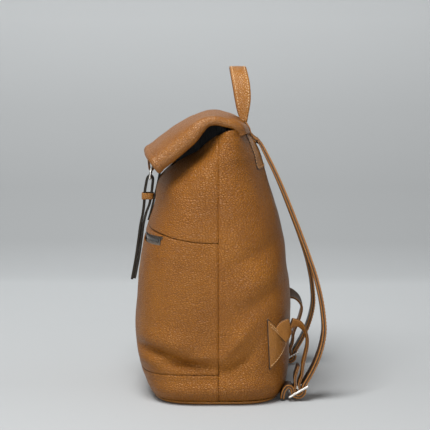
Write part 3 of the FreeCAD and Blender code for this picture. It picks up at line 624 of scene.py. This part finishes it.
def build_body():
    seam_low = [(y, z - 0.15) for y, z in POCKET_SEAM]
    seam_high = [(y, z + 0.15) for y, z in POCKET_SEAM]
    band_low, band_high = flat_line(BAND_SEAM_Z - 0.15), flat_line(BAND_SEAM_Z + 0.15)

    def window(p):
        return (np.abs(p[:, 2] - ZIP_Z) < 4.8) & (p[:, 1] < -30) & (np.abs(p[:, 0]) < 122)

    back = panel("back_leather", False, flat_line(5.2), RIM, M_BODY, dips=(2.2, 1.8, 0.8))
    place(back, "bag", "leather_body", "back_panel")
    upper = panel("front_upper_leather", True, seam_high, RIM, M_BODY, dips=(2.2, 0.3, 0.8), out=0.3)
    place(upper, "bag", "leather_body", "front_upper_panel")
    pocket = panel("front_pocket_leather", True, band_high, seam_low, M_BODY, dips=(2.2, 1.6, 2.0), hole=window,
                   levels=(ZIP_Z - 4.8, ZIP_Z + 4.8))
    place(pocket, "bag", "leather_body", "front_pocket_panel")
    bottom = panel("front_band_leather", True, flat_line(5.2), band_low, M_BODY, dips=(2.2, 1.8, 0.8), out=0.4)
    place(bottom, "bag", "leather_body", "front_bottom_band")

    s = np.linspace(0.008, 0.992, 700)
    lines = []
    top = line_height(True, s, seam_high)
    lines.append(skin(True, s, top + 2.6, 0.3))
    stitches("pocket_seam_stitches", lines, M_THREAD, "bag", pitch=3.6, length=2.6, radius=0.42)
    level = np.full(s.shape, BAND_SEAM_Z - 2.4)
    lines = [skin(True, s, level, 0.35), skin(True, s, level - 2.6, 0.35)]
    stitches("band_seam_stitches", lines, M_THREAD, "bag", pitch=3.6, length=2.6, radius=0.42)

    for front, sign in ((True, "front"), (False, "back")):
        inner = line_set(front, 6.4, -2.9)
        obj = mesh_object(f"lining_{sign}", inner[0], inner[1], [M_LINING])
        if front:
            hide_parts("main_lining")
        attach(obj, "bag")
    rows = np.linspace(0, 1, 12)[:, None]
    edge_s = np.linspace(0, 1, 120)
    rim_front = skin(True, edge_s, np.full(edge_s.shape, 6.5), -3.0)[0]
    rim_back = skin(False, edge_s, np.full(edge_s.shape, 6.5), -3.0)[0]
    floor = rim_front[None] * (1 - rows[..., None]) + rim_back[None] * rows[..., None]
    floor[..., 2] += 0.5 * noise_at(floor, 20.0)
    obj = mesh_object("lining_floor", floor.reshape(-1, 3), grid_faces(12, 120), [M_LINING])
    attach(obj, "bag")

    foot_z = 2.5 + 0 * edge_s
    ring = np.concatenate([bare_skin(True, edge_s, foot_z), bare_skin(False, edge_s, foot_z)[::-1][1:-1]])
    piping = tube("base_piping_cord", ring + unit(ring * [1, 1, 0]) * 0.5, 1.5, [M_TRIM], closed=True)
    place(piping, "bag", "leather_trim", "base_piping")
    build_collar()
    build_pocket_bag()


def line_set(front, low, out):
    """A lining that follows one half of the body from a height up to just below the rim."""
    s = np.linspace(0, 1, 150)
    top = line_height(front, s, RIM) - 0.8
    v = np.linspace(0, 1, 90)[:, None]
    z = low + (top[None] - low) * v
    points, normals = skin(front, np.broadcast_to(s, z.shape), z, out)
    points = points + normals * (0.35 * noise_at(points, 14.0, 5.0))[..., None]
    faces = grid_faces(*z.shape)
    return points.reshape(-1, 3), faces if front else faces[:, ::-1]


def build_collar():
    """The gathered textile collar inside the mouth."""
    ys, zs = [p[0] for p in COLLAR_TOP], [p[1] for p in COLLAR_TOP]
    halves = []
    for front in (True, False):
        s = np.linspace(0, 1, 260)[:-1]
        s = s if front else s[::-1] + (1 - s[-1])
        rim = line_height(front, s, RIM)
        rim_point = bare_skin(front, s, rim)
        halves.append((rim_point, skin_normal(front, s, rim), np.interp(rim_point[:, 1], ys, zs), rim))
    point = np.concatenate([h[0] for h in halves])
    normal = np.concatenate([h[1] for h in halves]) * [1, 1, 0]
    top = np.concatenate([h[2] for h in halves])
    low = np.minimum(np.concatenate([h[3] for h in halves]), top) - 7
    v = np.linspace(0, 1, 14)[:, None]
    z = low[None] + (top - low)[None] * v
    wave = np.sin(np.arange(len(low)) * 0.62 + 2.0 * noise_at(point, 30.0, 2.0))[None]
    inset = 4.6 + 0.9 * v * wave + 1.0 * v**2
    points = point[None] - normal[None] * inset[..., None]
    points[..., 2] = z + 0.6 * v * wave
    obj = mesh_object("mouth_collar_cloth", points.reshape(-1, 3), grid_faces(*z.shape, True), [M_LINING])
    thicken(obj, 0.8, offset=0)
    place(obj, "bag", "lining", "mouth_collar")


def build_pocket_bag():
    s = arc_of(True, 120.0, lambda p: np.abs(p[:, 0]) < 100)
    s = np.linspace(s[0], s[-1], 90)
    z = np.linspace(62, 195, 50)[:, None] + 0 * s[None]
    points, normals = skin(True, np.broadcast_to(s, z.shape), z, -4.2)
    points = points - normals * (0.4 * np.abs(noise_at(points, 25.0, 8.0)))[..., None]
    obj = mesh_object("pocket_bag_cloth", points.reshape(-1, 3), grid_faces(*z.shape), [M_LINING])
    thicken(obj, 1.2)
    place(obj, "bag", "lining", "pocket_bag")


# --- flap ----------------------------------------------------------------------------------------------------

FLAP_BLEND = ("bag", "flap", (0, 0.008, 0.326), (0, -0.034, 0.320))
FLAP_ROLL = 2.6
FLAP_EDGE = 0.93  # where the rolled side edges begin


def flap_plain(u, rows, ahead):
    """The flap's drooping sheet without its rolled edges: points, outward directions and directions along it."""
    size = np.minimum(np.abs(u), 0.9985)
    share = 1 - (1 - size**FLAP_ROLL) ** (1 / FLAP_ROLL)
    y = rows[..., 0] + (rows[..., 2] - rows[..., 0]) * share
    z = rows[..., 1] + (rows[..., 3] - rows[..., 1]) * share
    along = np.stack([0 * u, ahead[..., 0] + (ahead[..., 2] - ahead[..., 0]) * share,
                      ahead[..., 1] + (ahead[..., 3] - ahead[..., 1]) * share], -1)
    slope = np.sign(u) * size ** (FLAP_ROLL - 1) * (1 - size**FLAP_ROLL) ** (1 / FLAP_ROLL - 1)
    across = np.stack([rows[..., 4], (rows[..., 2] - rows[..., 0]) * slope, (rows[..., 3] - rows[..., 1]) * slope], -1)
    out = unit(np.cross(along, across))
    return np.stack([rows[..., 4] * u, y, z], -1), np.where(out[..., 2:3] < 0, -out, out), along


def flap_surface(u, v, depth=0.0):
    """Points of the flap's outer face. u is -1..1 across, v is millimetres from its back seam. depth is inwards."""
    stations = np.array(FLAP, float)
    keys = np.concatenate([[0], np.cumsum(np.linalg.norm(np.diff(stations[:, :2], axis=0), axis=1))])
    u, v = np.broadcast_arrays(np.asarray(u, float), np.asarray(v, float))
    rows = curve(keys, stations)(v)
    ahead = curve(keys, stations)(v + 1.0) - curve(keys, stations)(v - 1.0)
    points, out, along = flap_plain(u, rows, ahead)
    turn = np.clip((np.abs(u) - FLAP_EDGE) / (1 - FLAP_EDGE), 0, 1) * math.radians(125)
    if np.any(turn > 0):
        radius = 3.4 + 4.4 * smoothstep(45, 90, v)
        edge = flap_plain(np.sign(u) * np.minimum(np.abs(u), FLAP_EDGE), rows, ahead)
        level = unit(np.cross(edge[1], unit(along))) * np.sign(u)[..., None]
        level = np.where(level[..., 0:1] * np.sign(u)[..., None] < 0, -level, level)
        bend = level * np.sin(turn)[..., None] - edge[1] * (1 - np.cos(turn))[..., None]
        rolled = edge[0] + bend * radius[..., None]
        aside = edge[1] * np.cos(turn)[..., None] + level * np.sin(turn)[..., None]
        points = np.where(turn[..., None] > 0, rolled, points)
        out = np.where(turn[..., None] > 0, aside, out)
    wave = 1.0 * noise_at(points, 45.0, 4.4) + 0.4 * noise_at(points, 16.0, 9.1)
    wave += 0.7 * np.sin(points[..., 0] / 17.0) * smoothstep(90, 150, v)
    wave *= smoothstep(0, 20, v)
    return points + out * (wave - depth)[..., None], out


def flap_length():
    stations = np.array(FLAP, float)
    return float(np.sum(np.linalg.norm(np.diff(stations[:, :2], axis=0), axis=1))) - 2.0


def build_flap():
    length = flap_length()
    fine = [0, 0.4, 0.9, 1.6, 2.6, 4.0, 5.6, 7.0, 8.2]
    u = spaced(252.0, 2.4, fine) * 2 - 1
    v = spaced(length, 2.4, fine) * length
    uu, vv = np.meshgrid(u, v)
    points, out = flap_surface(uu, vv)
    side = (1 - np.abs(uu)) * 126
    front = length - vv
    near = np.minimum(side, front)
    hem = 0.9 * smoothstep(8.0, 5.0, front) - 0.9 * np.exp(-(((front - 5.6) / 1.2) ** 2))
    hem -= 1.1 * np.clip(1 - near / 2.2, 0, 1) ** 2
    hem *= smoothstep(4, 24, vv)
    points = points + out * hem[..., None]
    outer = mesh_object("flap_shell", points.reshape(-1, 3), grid_faces(*uu.shape), [M_FLAP])
    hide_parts("flap_rear", "flap_front")
    thicken(outer, 3.0, 1.1)
    apply_modifiers(outer)
    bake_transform(outer)

    u = np.linspace(-0.955, 0.955, 90)
    v = np.linspace(30, length - 7, 60)
    uu, vv = np.meshgrid(u, v)
    inner, out = flap_surface(uu, vv, 3.3)
    inner = inner + out * (0.25 * noise_at(inner, 12.0, 6.0))[..., None]
    lining = mesh_object("flap_lining_cloth", inner.reshape(-1, 3), grid_faces(*uu.shape), [M_LINING])
    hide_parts("flap_rear_lining", "flap_front_lining")
    thicken(lining, 0.6)
    apply_modifiers(lining)
    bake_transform(lining)

    lines = []
    u = np.linspace(-0.945, 0.945, 300)
    lines.append(flap_surface(u, np.full(u.shape, length - 5.6), -0.75))
    stitches("flap_stitches", lines, M_THREAD_PALE, None, pitch=3.9, length=2.9, radius=0.5,
             blend=FLAP_BLEND)


def apply_modifiers(obj):
    """Bakes an object's modifiers into its mesh."""
    graph = bpy.context.evaluated_depsgraph_get()
    mesh = bpy.data.meshes.new_from_object(obj.evaluated_get(graph))
    obj.modifiers.clear()
    obj.data = mesh


# --- closure -------------------------------------------------------------------------------------------------


def x_band(name, route, width, thickness, materials, **options):
    route = np.array([(0.0, y, z) for y, z in route])
    across = np.tile([1.0, 0.0, 0.0], (len(route), 1))
    return band(name, route, across, width, thickness, materials, **options)


def arc_points(centre, radius, start, end, count):
    steps = np.radians(np.linspace(start, end, count))
    return [(centre[0] + radius * math.cos(a), centre[1] + radius * math.sin(a)) for a in steps]


def build_closure():
    blacks = [M_BLACK, M_BLACK, M_BLACK]
    route = ((-61.5, 297.5), (-65.0, 270.0), (-68.3, 250.0), (-73.2, 229.0), (-77.4, 212.0), (-80.9, 199.5))
    strap, _ = x_band("snap_strap_leather", route, 18.0, 2.3, blacks, step=2.0, crown=0.2)
    place(strap, "flap", "strap_dark", "snap_strap")
    top = (-77.0, 262.6)
    under = arc_points(top, 2.6, 0, -180, 9)
    route = [(-69.0, 290.5), (-72.6, 270.0), *under, (-80.4, 270.0), (-81.4, 281.5)]
    tab, _ = x_band("closure_tab_leather", route, 16.0, 2.0, [M_FLAP, M_FLAP, M_PAINT], step=0.8)
    place(tab, "flap", "leather_flap", "closure_tab")
    bar = (-79.0, 250.0)
    inner = [(-98.0, 128.0), (-93.4, 151.5), (-89.7, 176.0), (-87.0, 195.0), (-84.0, 207.0)]
    inner += [(-79.6, 219.0), (-77.4, 231.0), (-76.1, 241.0)]
    outer = [(-83.8, 243.0), (-85.5, 232.0), (-86.3, 219.0), (-87.9, 207.0)]
    outer += [(-90.4, 195.0), (-93.1, 176.0), (-96.8, 151.5), (-101.4, 127.0)]
    route = [*inner, *arc_points(bar, 3.05, 20, 165, 9), *outer]
    pull, _ = x_band("pull_strap_leather", route, 17.0, 2.8, blacks, step=1.6, crown=0.15)
    place(pull, "pull", "strap_dark", "pull_strap")
    loop = []
    for a in np.radians(np.arange(0, 360, 6)):
        c, s = math.cos(a), math.sin(a)
        loop.append((math.copysign(abs(c) ** 0.35, c) * 9.8, -81.7 + math.copysign(abs(s) ** 0.35, s) * 6.7, 228.5))
    loop = np.array(loop)
    keeper, _ = band("pull_keeper_leather", np.vstack([loop, loop[:1]]), np.tile([0, 0, 1.0], (61, 1)), 7.6, 1.4,
                     [M_TRIM, M_TRIM, M_PAINT], step=1.0)
    place(keeper, "pull", "leather_trim", "pull_keeper")


# --- handle and patches --------------------------------------------------------------------------------------

# x, y, z, width across the strap, thickness.
HANDLE = (
    (45.0, 34.5, 319.5, 7.0, 5.0),
    (44.7, 33.6, 330.0, 12.5, 4.4),
    (43.4, 33.2, 345.0, 18.0, 3.6),
    (39.5, 31.6, 361.0, 20.0, 3.4),
    (31.0, 29.0, 375.0, 20.0, 3.4),
    (17.0, 27.5, 382.0, 20.0, 3.4),
    (0.0, 27.0, 383.3, 20.0, 3.4),
)


def build_handle():
    rows = np.array([*HANDLE, *[(-x, y, z, w, t) for x, y, z, w, t in HANDLE[-2::-1]]])
    across = np.tile([0.0, 1.0, 0.0], (len(rows), 1))
    strap, frames = band("handle_leather", rows[:, :3], across, rows[:, 3], rows[:, 4], [M_TRIM, M_TRIM, M_PAINT],
                         step=2.0, crown=0.5, groove=0.15)
    place(strap, "handle", "leather_trim", "handle_strap")
    lines = strap_stitches(frames, 2.6, sides=(-1, 1), start=8, end=8, lift=0.35)
    stitches("handle_stitches", lines, M_THREAD_PALE, "handle", pitch=3.6, length=2.6, radius=0.42)
    for side, word in ((-1, "left"), (1, "right")):
        line = ((42.0, 303.0), (40.9, 308.0), (38.8, 313.8), (36.2, 317.0), (34.6, 319.2))
        route = np.array([(side * 45.0, y, z) for y, z in line])
        tab, _ = band(f"handle_tab_{word}", route, np.tile([1.0, 0, 0], (5, 1)), [12, 12, 11, 9, 7.5],
                      [2.6, 3.4, 3.8, 4.4, 4.8], [M_TRIM, M_TRIM, M_PAINT], step=1.0, crown=0.4)
        if side > 0:
            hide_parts("handle_tabs")
        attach(tab, "bag")


def rounded_outline(corners, radius, steps=7):
    """Points round a polygon with rounded corners, in 2-D."""
    found = []
    count = len(corners)
    for i in range(count):
        a, b, c = (np.array(corners[(i + k) % count], float) for k in (-1, 0, 1))
        p, q = b + unit(a - b) * radius, b + unit(c - b) * radius
        for t in np.linspace(0, 1, steps):
            found.append((1 - t) ** 2 * p + 2 * t * (1 - t) * b + t * t * q)
    return np.array(found)


def densify(outline, step):
    closed = np.vstack([outline, outline[:1]])
    run = np.concatenate([[0], np.cumsum(np.linalg.norm(np.diff(closed, axis=0), axis=1))])
    t = np.arange(0, run[-1], step)
    return np.column_stack([np.interp(t, run, closed[:, k]) for k in range(closed.shape[1])])


PATCH_RINGS = (1.0, 1.8, 3.0, 5, 8, 12, 18, 26, 36)


def patch(name, outline, to_surface, thickness, materials, puff=0.0, painted=2):
    """A leather patch: rings of points from its edge to its middle, laid on a surface. The first few are painted."""
    centre = outline.mean(0)
    reach = np.linalg.norm(outline - centre, axis=1)
    narrow = float(reach.min())
    count = len(outline)
    points = []
    inner = [(0.0, -thickness - 1.2), (0.0, -0.9), (0.7, -0.1)] + [(d, 0.0) for d in PATCH_RINGS if d < narrow * 0.92]
    for distance, depth in inner:
        share = 1 - distance / narrow
        ring = centre + (outline - centre) * share
        lift = puff * smoothstep(0, narrow, np.full(count, distance))
        points.append(to_surface(ring, thickness + depth + lift))
    points.append(to_surface(centre + (outline - centre) * 0.02, np.full(count, thickness + puff)))
    points = np.array(points)
    rows = len(points)
    faces = grid_faces(rows, count, True)
    kinds = np.repeat([int(row < painted) for row in range(rows - 1)], count)
    return mesh_object(name, points.reshape(-1, 3), faces, materials, kinds)


def back_surface(points, lift):
    """Points (x, z) on the back panel, lifted off it."""
    x, z = points[:, 0], points[:, 1]
    low, high = np.zeros(len(x)), np.ones(len(x))
    for _ in range(24):
        middle = (low + high) / 2
        beyond = bare_skin(False, middle, z)[:, 0] > x
        low, high = np.where(beyond, middle, low), np.where(beyond, high, middle)
    return skin(False, low, z, lift)[0]


def build_back_patch():
    outline = densify(rounded_outline([(-93, 265), (93, 265), (84, 306), (-84, 306)], 5), 1.5)
    obj = patch("back_patch_leather", outline, back_surface, 2.3, [M_TRIM, M_PAINT], puff=0.4, painted=3)
    place(obj, "bag", "leather_trim", "back_patch")
    line = densify(rounded_outline([(-89.5, 268.2), (89.5, 268.2), (80.8, 303), (-80.8, 303)], 4), 2.0)
    line = np.vstack([line, line[:1]])
    points = back_surface(line, 2.5)
    out = unit(back_surface(line, 6.0) - points)
    stitches("back_patch_stitches", [(points, out)], M_THREAD, "bag", pitch=3.6, length=2.5,
             radius=0.36)


def build_corner_patches():
    # The patch's corners as (millimetres round from the side seam, height).
    top, rear, foot = (59.0, 101.0), (102.0, 67.0), (63.5, 40.0)
    for sign, word in ((1, "right"), (-1, "left")):
        def on_skin(points, lift, sign=sign):
            s = points[:, 0] / HALF_RUN
            return skin(False, s if sign > 0 else 1 - s, points[:, 1], lift)[0]

        outline = densify(rounded_outline([top, rear, foot], 2.2, 5), 1.2)
        obj = patch(f"corner_patch_leather_{word}", outline, on_skin, 3.4, [M_TRIM, M_PAINT], puff=0.6)
        place(obj, "bag", "leather_trim", f"corner_patch_{word}")
        lines = []
        corners = [np.array(c, float) for c in (top, rear, foot)]
        middle = sum(corners) / 3
        small = [middle + (c - middle) * 0.80 for c in corners]
        smaller = [middle + (c - middle) * 0.68 for c in corners]
        for a, b in ((small[0], small[1]), (smaller[0], smaller[1]), (small[1], small[2])):
            line = a + (b - a) * np.linspace(0, 1, 24)[:, None]
            points = on_skin(line, 4.0)
            lines.append((points, unit(on_skin(line, 7.0) - points)))
        stitches(f"corner_patch_stitches_{word}", lines, M_THREAD_PALE, "bag", pitch=3.2, length=2.3,
                 radius=0.34)


# --- shoulder straps -----------------------------------------------------------------------------------------

UPPER_ROUTE = (
    (27.4, 52.5, 295.6),
    (28.3, 54.7, 292.2),
    (33.0, 62.8, 277.0),
    (42.0, 76.5, 248.5),
    (57.0, 94.8, 203.5),
    (71.0, 108.6, 167.0),
    (83.0, 118.6, 135.5),
    (93.0, 125.0, 102.5),
    (99.0, 126.2, 79.5),
    (102.0, 121.6, 57.0),
    (103.0, 112.8, 35.5),
)
FREE_END = ((89.6, 13.4), (87.2, 16.8), (83.6, 17.0), (80.6, 13.8), (78.6, 8.4), (77.8, 2.6))
TOP_TAB = ((22.0, 36.5, 307.6), (23.5, 41.4, 304.2), (25.4, 46.0, 299.6), (27.2, 51.6, 295.2))
LOWER_START = (
    (125.5, 74.0, 77.5, -0.46, 0.60, -0.66),
    (122.0, 79.5, 84.5, -0.46, 0.60, -0.66),
    (118.6, 86.0, 89.2, -0.72, 0.42, -0.55),
    (114.5, 93.5, 89.6, -0.90, 0.20, -0.38),
    (109.6, 100.6, 84.6, -0.97, 0.05, -0.22),
    (106.0, 105.6, 75.5, -1.00, 0.0, -0.10),
    (104.0, 106.6, 65.0, -1.00, 0.0, 0.0),
    (103.0, 104.6, 54.0, -1.00, 0.0, 0.0),
    (103.0, 101.9, 42.0, -1.00, 0.0, 0.0),
    (103.0, 100.6, 30.0, -1.00, 0.0, 0.0),
)
RETURN_END = ((93.0, 18.6), (92.4, 25.0), (94.0, 33.0), (96.8, 41.0))
BUCKLE = (96.3, 11.8)
BUCKLE_X = 103.0
TILT = 30.3
STRAP_WIDTH = 24.0
STRAP_THICKNESS, STRAP_END = 4.5, [2.2, 3.4]  # the upper strap is pared down at its sewn end
LOWER_THICKNESS = 2.6
LEFT_BOW = (1.0, 4.0, 6.5, 6.5, 4.0, 2.0)  # how much further back the left lower strap bows than the right one


def buckle_place(along, out):
    c, s = math.cos(math.radians(TILT)), math.sin(math.radians(TILT))
    return (BUCKLE[0] + along * c - out * s, BUCKLE[1] + along * s + out * c)


def mirror(points, sign):
    return np.asarray(points, float) * [sign, 1, 1]


def build_straps():
    leathers = [M_STRAP, M_INNER, M_PAINT]
    for sign, word in ((1, "right"), (-1, "left")):
        route = [*UPPER_ROUTE]
        entry = [buckle_place(14.2, 5.0), buckle_place(9.6, 2.4)]
        wrap = arc_points(BUCKLE, 6.75, -8 + TILT, -172 + TILT, 9)
        route += [(BUCKLE_X, y, z) for y, z in (*entry, *wrap, *FREE_END)]
        route = mirror(route, sign)
        across = np.tile([1.0, 0.0, 0.0], (len(route), 1))
        thickness = STRAP_END + [STRAP_THICKNESS] * (len(route) - 2)
        strap, frames = band(f"shoulder_strap_leather_{word}", route, across, STRAP_WIDTH, thickness, leathers,
                             step=2.5, crown=0.5)
        place(strap, f"strap_{word}", "leather_strap", f"shoulder_strap_{word}")
        lines = strap_stitches(frames, 2.6, start=3, end=3, lift=0.2)
        stitches(f"shoulder_strap_stitches_{word}", lines, M_THREAD, f"strap_{word}")

        tab_route = mirror(TOP_TAB, sign)
        tab, _ = band(f"strap_tab_leather_{word}", tab_route, np.tile([1.0, 0, 0], (4, 1)), 23.6, 4.2,
                      leathers, step=1.5, crown=0.4)
        place(tab, "bag", "leather_strap", f"strap_tab_{word}")

        rows = np.array(LOWER_START)
        if sign < 0:
            rows[2:8, 1] += LEFT_BOW
        root_route, root_across = mirror(rows[:3, :3], sign), mirror(rows[:3, 3:], sign) * sign
        root, _ = band(f"lower_strap_root_leather_{word}", root_route, root_across, STRAP_WIDTH, LOWER_THICKNESS,
                       leathers, step=1.6, crown=0.3)
        place(root, "bag", "leather_strap", f"lower_strap_root_{word}")

        route, across = rows[2:, :3], rows[2:, 3:]
        wrap = arc_points(BUCKLE, 2.95, TILT, -180 + TILT, 9)
        tail = [buckle_place(3.4, 3.6), *wrap, buckle_place(-3.1, 3.0), *RETURN_END]
        route = np.vstack([route, [(BUCKLE_X, y, z) for y, z in tail]])
        across = np.vstack([across, np.tile([-1.0, 0, 0], (len(tail), 1))])
        route, across = mirror(route, sign), mirror(across, sign) * sign
        lower, _ = band(f"lower_strap_leather_{word}", route, across, STRAP_WIDTH, LOWER_THICKNESS, leathers,
                        step=1.6, crown=0.3)
        place(lower, f"strap_{word}", "leather_strap", f"lower_strap_{word}")


# --- metal ---------------------------------------------------------------------------------------------------


def dress_cad():
    finishes = {
        "closure_ring": M_METAL, "zipper_slider": M_METAL, "zipper_puller": M_METAL, "zipper_teeth": M_ZIP,
        "zipper_stops": M_ZIP, "zipper_tapes": M_TAPE, "snap_post": M_DARK, "snap_cap": M_DARK, "base_panel": M_BASE,
        "base_board": M_BOARD,
    }
    for word in ("left", "right"):
        finishes[f"strap_buckle_{word}"] = M_METAL
        finishes[f"buckle_prong_{word}"] = M_METAL
    for name, material in finishes.items():
        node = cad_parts[name]
        node.data.materials.clear()
        node.data.materials.append(material)


# --- stage ---------------------------------------------------------------------------------------------------


def sweep_material():
    """A matt studio sweep whose grey changes softly with height and depth: painted light and shade in bands along it.
    """
    material, tree, shader = new_material("sweep")
    place = add(tree, "ShaderNodeTexCoord").outputs["Object"]
    parts = add(tree, "ShaderNodeSeparateXYZ", Vector=place)
    run = math_node(tree, "SUBTRACT", parts.outputs["Z"], math_node(tree, "MULTIPLY", parts.outputs["X"], 0.5))
    grain = add(tree, "ShaderNodeTexNoise", Vector=place, Scale=1.5, Detail=3.0).outputs["Fac"]
    run = math_node(tree, "MULTIPLY_ADD", grain, 0.06, run)
    share = math_node(tree, "MULTIPLY_ADD", run, 1 / 1.5, 0.1)
    # Painted light and shade: the sweep's grey rises and falls along its run to stand in for how the lamps light it.
    painted_light_greys = ((0.03, 0.435), (0.12, 0.44), (0.20, 0.495), (0.28, 0.555), (0.39, 0.625), (0.52, 0.46))
    painted_light_greys += ((0.64, 0.44), (0.79, 0.49), (0.88, 0.55), (0.94, 0.585))
    colour = ramp(tree, share, [(p, (g * 1.07, g * 1.10, g * 1.11)) for p, g in painted_light_greys])
    tree.links.new(colour, shader.inputs["Base Color"])
    shader.inputs["Roughness"].default_value = 0.9
    shader.inputs["Specular IOR Level"].default_value = 0.1
    return material


def area_light(name, location, target, size, energy):
    data = bpy.data.lights.new(name, "AREA")
    data.shape = "RECTANGLE"
    data.size, data.size_y = size
    data.energy = energy
    light = bpy.data.objects.new(name, data)
    bpy.context.scene.collection.objects.link(light)
    light.location = location
    light.rotation_euler = (Vector(target) - Vector(location)).to_track_quat("-Z", "Y").to_euler()


def stage_and_camera():
    scene = bpy.context.scene
    scene.view_settings.view_transform = "Standard"
    data = bpy.data.cameras.new("camera")
    data.sensor_width = 36
    data.lens = 1487 * 36 / 430  # the photo's focal length and width in pixels, on a 36 mm sensor
    camera = bpy.data.objects.new("camera", data)
    scene.collection.objects.link(camera)
    camera.location = (1.803, 0, 0.387)
    camera.rotation_euler = (math.radians(90 - 5.77), 0, math.radians(90))
    scene.camera = camera

    world = bpy.data.worlds.new("world")
    scene.world = world
    world.use_nodes = True
    background = world.node_tree.nodes["Background"]
    background.inputs[0].default_value = (0.96, 0.98, 1.0, 1)
    background.inputs[1].default_value = 0.22

    turn = [(math.cos(a), math.sin(a)) for a in np.linspace(-math.pi / 2, -math.pi, 16)]
    profile = [(3.0, 0.0), (1.0, 0.0), (0.0, 0.0), (-0.4, 0.0)]
    profile += [(-0.9 + 0.6 * c, 0.6 + 0.6 * s) for c, s in turn] + [(-1.5, 1.5), (-1.5, 4.0)]
    verts = [(x / MM, y / MM, z / MM) for x, z in profile for y in (-4.0, -1.0, 1.0, 4.0)]
    sweep = mesh_object("sweep", verts, grid_faces(len(profile), 4), [sweep_material()])
    area_light("top", (0.75, -0.35, 1.75), (0, 0, 0.2), (1.0, 0.9), 42)
    area_light("key", (1.5, -1.5, 0.9), (0, 0, 0.2), (1.2, 1.0), 2)
    area_light("fill", (2.0, 1.2, 0.7), (0, 0, 0.2), (1.0, 1.0), 2.5)
    area_light("low", (1.5, 0.0, 0.1), (0, 0, 0.08), (2.2, 0.2), 8)


build_body()
build_flap()
build_closure()
build_handle()
build_back_patch()
build_corner_patches()
build_straps()
dress_cad()
stage_and_camera()
